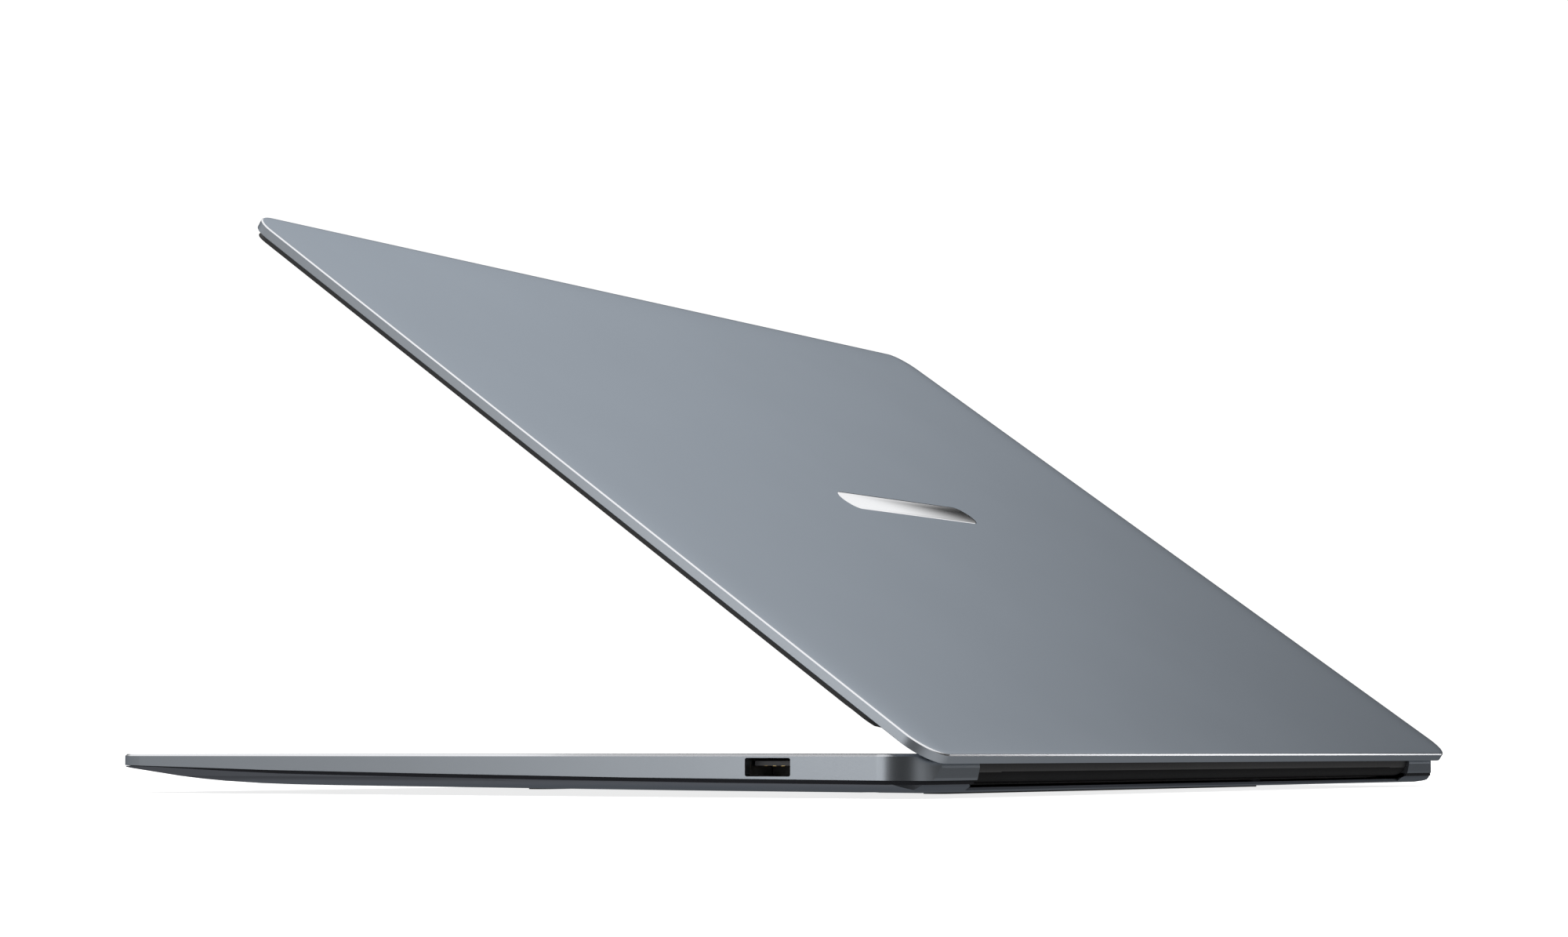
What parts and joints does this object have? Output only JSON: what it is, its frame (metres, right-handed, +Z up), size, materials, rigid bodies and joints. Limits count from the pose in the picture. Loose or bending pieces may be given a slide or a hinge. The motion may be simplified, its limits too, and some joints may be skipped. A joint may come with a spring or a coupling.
{
  "type": "laptop computer",
  "caption": "Thin grey clamshell laptop with a friction-hinged lid, full keyboard with number pad, click touchpad, side sockets and cooling fan inside.",
  "frame": {"origin": "centre of the footprint of the whole laptop in its stored half-open pose, on the plane its feet rest on", "axes": "+X towards the user's right-hand side, +Y towards the hinge at the back, +Z up"},
  "size_m": [0.3568, 0.2516, 0.1526],
  "materials": {
    "anodised_shell": "satin anodised grey",
    "anodised_cover": "fine matt anodised dark grey",
    "polished_inlay": "mirror polished",
    "black_frame": "fine matt black",
    "black_hinge": "satin black",
    "screen_glass": "dark glossy glass",
    "panel_back": "bare sheet",
    "key_plastic": "matt charcoal",
    "foot_rubber": "matt black",
    "dome_rubber": "matt dark grey",
    "pad_glass": "etched glass, satin",
    "board_green": "solder mask satin",
    "chip_black": "moulded package",
    "copper_pipe": "bare copper",
    "fin_metal": "thin sheet",
    "steel_parts": "plain steel",
    "socket_metal": "bright nickel",
    "contact_plastic": "moulded black",
    "battery_skin": "black wrap",
    "ribbon": "polyimide film"
  },
  "bodies": {
    "base": {"top_case": "anodised_shell", "bottom_cover": "anodised_cover", "bottom_screws": "steel_parts", "front_foot": "foot_rubber", "rear_foot": "foot_rubber", "hinge_trough": "black_hinge", "keyboard_tray": "black_frame", "keyboard_membrane": "dome_rubber", "main_board": "board_green", "processor": "chip_black", "memory_chips": "chip_black", "heat_pipe": "copper_pipe", "heatsink_fins": "fin_metal", "fan_housing": "black_frame", "solid_state_drive": "chip_black", "wireless_card": "socket_metal", "battery_pack": "battery_skin", "speaker_left": "black_frame", "speaker_right": "black_frame", "io_boards": "board_green", "usb_a_shells": "socket_metal", "usb_a_tongues": "contact_plastic", "usb_c_socket": "socket_metal", "hdmi_socket": "socket_metal", "audio_jack": "contact_plastic", "board_screws": "steel_parts", "touchpad_cable": "ribbon", "hinge_mount_left": "steel_parts", "hinge_mount_right": "steel_parts"},
    "lid": {"lid_cover": "anodised_shell", "lid_emblem": "polished_inlay", "display_bezel": "black_frame", "display_glass": "screen_glass", "display_panel": "panel_back", "hinge_cover": "black_hinge", "hinge_arm_left": "steel_parts", "hinge_arm_right": "steel_parts", "arm_screws": "steel_parts", "webcam": "chip_black", "antenna_strips": "copper_pipe", "display_cable": "ribbon"},
    "fan": {"fan_impeller": "black_hinge"},
    "touchpad": {"touchpad": "pad_glass", "touchpad_board": "board_green"},
    "power_button": {"power_button": "anodised_shell"},
    "keys_function_row": {"keys_function_row": "key_plastic"},
    "keys_number_row": {"keys_number_row": "key_plastic"},
    "key_backspace": {"key_backspace": "key_plastic"},
    "keys_upper_row": {"keys_upper_row": "key_plastic"},
    "key_caps_lock": {"key_caps_lock": "key_plastic"},
    "keys_home_row": {"keys_home_row": "key_plastic"},
    "key_enter": {"key_enter": "key_plastic"},
    "key_left_shift": {"key_left_shift": "key_plastic"},
    "keys_lower_row": {"keys_lower_row": "key_plastic"},
    "key_right_shift": {"key_right_shift": "key_plastic"},
    "keys_modifiers": {"keys_modifiers": "key_plastic"},
    "key_space": {"key_space": "key_plastic"},
    "keys_arrows": {"keys_arrows": "key_plastic"},
    "keys_number_pad": {"keys_number_pad": "key_plastic"}
  },
  "joints": [
    {"name": "lid_hinge", "type": "hinge", "parent": "base", "child": "lid", "pos_m": [0, 0.1167, 0.00797], "axis": [-1, 0, 0], "range_deg": [-35, 66]},
    {"name": "fan_spin", "type": "hinge", "parent": "base", "child": "fan", "pos_m": [0.096, 0.072, 0.0042], "axis": [0, 0, 1], "continuous": true},
    {"name": "touchpad_press", "type": "hinge", "parent": "base", "child": "touchpad", "pos_m": [-0.028, -0.03, 0.0096], "axis": [1, 0, 0], "range_deg": [0, 0.35], "stiffness_Nm_per_rad": 14, "springref_deg": -0.23},
    {"name": "power_button_press", "type": "slide", "parent": "base", "child": "power_button", "axis": [0, 0, -1], "range_m": [0, 0.0004], "stiffness_N_per_m": 1500, "springref_m": -0.0003},
    {"name": "keys_function_row_press", "type": "slide", "parent": "base", "child": "keys_function_row", "axis": [0, 0, -1], "range_m": [0, 0.0012], "stiffness_N_per_m": 960, "springref_m": -0.0012},
    {"name": "keys_number_row_press", "type": "slide", "parent": "base", "child": "keys_number_row", "axis": [0, 0, -1], "range_m": [0, 0.0012], "stiffness_N_per_m": 960, "springref_m": -0.0012},
    {"name": "key_backspace_press", "type": "slide", "parent": "base", "child": "key_backspace", "axis": [0, 0, -1], "range_m": [0, 0.0012], "stiffness_N_per_m": 160, "springref_m": -0.0012},
    {"name": "keys_upper_row_press", "type": "slide", "parent": "base", "child": "keys_upper_row", "axis": [0, 0, -1], "range_m": [0, 0.0012], "stiffness_N_per_m": 960, "springref_m": -0.0012},
    {"name": "key_caps_lock_press", "type": "slide", "parent": "base", "child": "key_caps_lock", "axis": [0, 0, -1], "range_m": [0, 0.0012], "stiffness_N_per_m": 160, "springref_m": -0.0012},
    {"name": "keys_home_row_press", "type": "slide", "parent": "base", "child": "keys_home_row", "axis": [0, 0, -1], "range_m": [0, 0.0012], "stiffness_N_per_m": 960, "springref_m": -0.0012},
    {"name": "key_enter_press", "type": "slide", "parent": "base", "child": "key_enter", "axis": [0, 0, -1], "range_m": [0, 0.0012], "stiffness_N_per_m": 160, "springref_m": -0.0012},
    {"name": "key_left_shift_press", "type": "slide", "parent": "base", "child": "key_left_shift", "axis": [0, 0, -1], "range_m": [0, 0.0012], "stiffness_N_per_m": 160, "springref_m": -0.0012},
    {"name": "keys_lower_row_press", "type": "slide", "parent": "base", "child": "keys_lower_row", "axis": [0, 0, -1], "range_m": [0, 0.0012], "stiffness_N_per_m": 960, "springref_m": -0.0012},
    {"name": "key_right_shift_press", "type": "slide", "parent": "base", "child": "key_right_shift", "axis": [0, 0, -1], "range_m": [0, 0.0012], "stiffness_N_per_m": 160, "springref_m": -0.0012},
    {"name": "keys_modifiers_press", "type": "slide", "parent": "base", "child": "keys_modifiers", "axis": [0, 0, -1], "range_m": [0, 0.0012], "stiffness_N_per_m": 960, "springref_m": -0.0012},
    {"name": "key_space_press", "type": "slide", "parent": "base", "child": "key_space", "axis": [0, 0, -1], "range_m": [0, 0.0012], "stiffness_N_per_m": 160, "springref_m": -0.0012},
    {"name": "keys_arrows_press", "type": "slide", "parent": "base", "child": "keys_arrows", "axis": [0, 0, -1], "range_m": [0, 0.0012], "stiffness_N_per_m": 640, "springref_m": -0.0012},
    {"name": "keys_number_pad_press", "type": "slide", "parent": "base", "child": "keys_number_pad", "axis": [0, 0, -1], "range_m": [0, 0.0012], "stiffness_N_per_m": 960, "springref_m": -0.0012}
  ]
}
